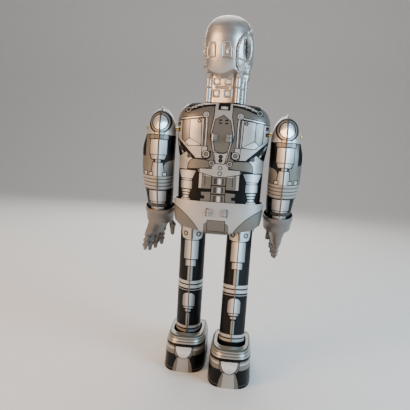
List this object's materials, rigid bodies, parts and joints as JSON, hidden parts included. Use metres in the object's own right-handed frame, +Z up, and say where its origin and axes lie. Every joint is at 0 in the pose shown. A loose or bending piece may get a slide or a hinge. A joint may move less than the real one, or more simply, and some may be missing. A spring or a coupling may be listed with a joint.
{
  "type": "clockwork walking robot toy",
  "caption": "Standing tinplate walking robot with swinging arms and legs, turning head and hands, hinged feet and a clockwork motor.",
  "frame": {"origin": "centre of the bounding box on the floor, under the feet", "axes": "+Z up, the robot faces -Y, and its own left side is +X"},
  "size_m": [0.108, 0.0824, 0.24],
  "materials": {
    "printed_tin": "lithographed tinplate in greys, silver and black, glossy varnish",
    "silver_paint": "satin silver paint",
    "grey_plastic": "moulded grey plastic with a slight metallic look",
    "brass_fitting": "plain brass",
    "plated_steel": "bright plated steel",
    "spring_steel": "blued spring steel",
    "dark_lens": "glossy dark plastic",
    "black_roller": "matt black"
  },
  "bodies": {
    "body": {"torso_front": "printed_tin", "torso_back": "printed_tin", "pelvis_front": "printed_tin", "pelvis_back": "printed_tin", "neck_bush": "brass_fitting", "left_shoulder_washer": "spring_steel", "right_shoulder_washer": "spring_steel", "left_motor_plate": "plated_steel", "right_motor_plate": "plated_steel", "motor_pillar_1": "plated_steel", "motor_pillar_2": "plated_steel", "motor_pillar_3": "plated_steel", "hip_axle": "plated_steel", "mainspring": "spring_steel"},
    "head": {"head_back": "silver_paint", "head_face": "silver_paint", "left_eye_lens": "dark_lens", "right_eye_lens": "dark_lens", "neck_rivet": "plated_steel"},
    "left_arm": {"left_arm_inner": "printed_tin", "left_arm_outer": "printed_tin", "left_shoulder_rivet": "brass_fitting"},
    "left_hand": {"left_hand": "grey_plastic"},
    "left_leg": {"left_leg_inner": "printed_tin", "left_leg_outer": "printed_tin", "left_leg_lever": "plated_steel", "left_ankle_axle": "plated_steel"},
    "left_foot": {"left_foot_shell": "printed_tin", "left_sole_plate": "plated_steel", "left_ankle_bracket": "plated_steel", "left_roller_axle": "plated_steel"},
    "left_roller": {"left_roller": "black_roller"},
    "right_arm": {"right_arm_inner": "printed_tin", "right_arm_outer": "printed_tin", "right_shoulder_rivet": "brass_fitting"},
    "right_hand": {"right_hand": "grey_plastic"},
    "right_leg": {"right_leg_inner": "printed_tin", "right_leg_outer": "printed_tin", "right_leg_lever": "plated_steel", "right_ankle_axle": "plated_steel"},
    "right_foot": {"right_foot_shell": "printed_tin", "right_sole_plate": "plated_steel", "right_ankle_bracket": "plated_steel", "right_roller_axle": "plated_steel"},
    "right_roller": {"right_roller": "black_roller"},
    "great_wheel": {"great_wheel": "brass_fitting", "click": "spring_steel"},
    "winding_arbor": {"winding_arbor": "plated_steel", "ratchet_wheel": "spring_steel"},
    "idler": {"idler_gear": "plated_steel"},
    "crank": {"crank_shaft": "plated_steel", "crank_wheel": "brass_fitting", "left_crank_disc": "plated_steel", "right_crank_disc": "plated_steel"},
    "governor": {"governor_wheel": "plated_steel"},
    "pallet": {"pallet": "plated_steel"}
  },
  "joints": [
    {"name": "head_turn", "type": "hinge", "parent": "body", "child": "head", "pos_m": [0, 0.0085, 0.1835], "axis": [0, 0, 1], "continuous": true},
    {"name": "left_arm_swing", "type": "hinge", "parent": "body", "child": "left_arm", "pos_m": [0.032, 0.0085, 0.165], "axis": [1, 0, 0], "continuous": true},
    {"name": "left_hand_turn", "type": "hinge", "parent": "left_arm", "child": "left_hand", "pos_m": [0.0414, 0.00119, 0.11], "axis": [0, 0.309, 0.9511], "continuous": true},
    {"name": "left_leg_swing", "type": "hinge", "parent": "body", "child": "left_leg", "pos_m": [0.016, 0.0085, 0.1], "axis": [1, 0, 0], "range_deg": [-3, 14]},
    {"name": "left_ankle", "type": "hinge", "parent": "left_leg", "child": "left_foot", "pos_m": [0.016, 0.00026, 0.0144], "axis": [1, 0, 0], "range_deg": [-15, 5]},
    {"name": "left_roller_spin", "type": "hinge", "parent": "left_foot", "child": "left_roller", "pos_m": [0.016, -0.02174, 0.00405], "axis": [1, 0, 0], "continuous": true},
    {"name": "right_arm_swing", "type": "hinge", "parent": "body", "child": "right_arm", "pos_m": [-0.032, 0.0085, 0.165], "axis": [1, 0, 0], "continuous": true},
    {"name": "right_hand_turn", "type": "hinge", "parent": "right_arm", "child": "right_hand", "pos_m": [-0.0414, 0.00119, 0.11], "axis": [0, 0.309, 0.9511], "continuous": true},
    {"name": "right_leg_swing", "type": "hinge", "parent": "body", "child": "right_leg", "pos_m": [-0.016, 0.0085, 0.1], "axis": [1, 0, 0], "range_deg": [-14, 3]},
    {"name": "right_ankle", "type": "hinge", "parent": "right_leg", "child": "right_foot", "pos_m": [-0.016, 0.01674, 0.0144], "axis": [1, 0, 0], "range_deg": [-5, 15]},
    {"name": "right_roller_spin", "type": "hinge", "parent": "right_foot", "child": "right_roller", "pos_m": [-0.016, -0.00526, 0.00405], "axis": [1, 0, 0], "continuous": true},
    {"name": "crank_turn", "type": "hinge", "parent": "body", "child": "crank", "pos_m": [0, 0.0085, 0.118], "axis": [1, 0, 0], "continuous": true},
    {"name": "great_wheel_turn", "type": "hinge", "parent": "body", "child": "great_wheel", "pos_m": [0, 0.0085, 0.144], "axis": [1, 0, 0], "continuous": true},
    {"name": "idler_turn", "type": "hinge", "parent": "body", "child": "idler", "pos_m": [0, 0.0085, 0.1295], "axis": [1, 0, 0], "continuous": true},
    {"name": "governor_turn", "type": "hinge", "parent": "body", "child": "governor", "pos_m": [0, 0.01751, 0.11169], "axis": [1, 0, 0], "continuous": true},
    {"name": "winding_arbor_turn", "type": "hinge", "parent": "body", "child": "winding_arbor", "pos_m": [0, 0.0085, 0.144], "axis": [1, 0, 0], "continuous": true},
    {"name": "pallet_rock", "type": "hinge", "parent": "body", "child": "pallet", "pos_m": [0, 0.0175, 0.1046], "axis": [1, 0, 0], "range_deg": [-8, 8]}
  ],
  "couplings": [
    {"joint": "right_leg_swing", "follows": "left_leg_swing", "ratio": -1},
    {"joint": "great_wheel_turn", "follows": "crank_turn", "ratio": 0.091146},
    {"joint": "idler_turn", "follows": "crank_turn", "ratio": -0.4375},
    {"joint": "governor_turn", "follows": "crank_turn", "ratio": -4.5}
  ]
}
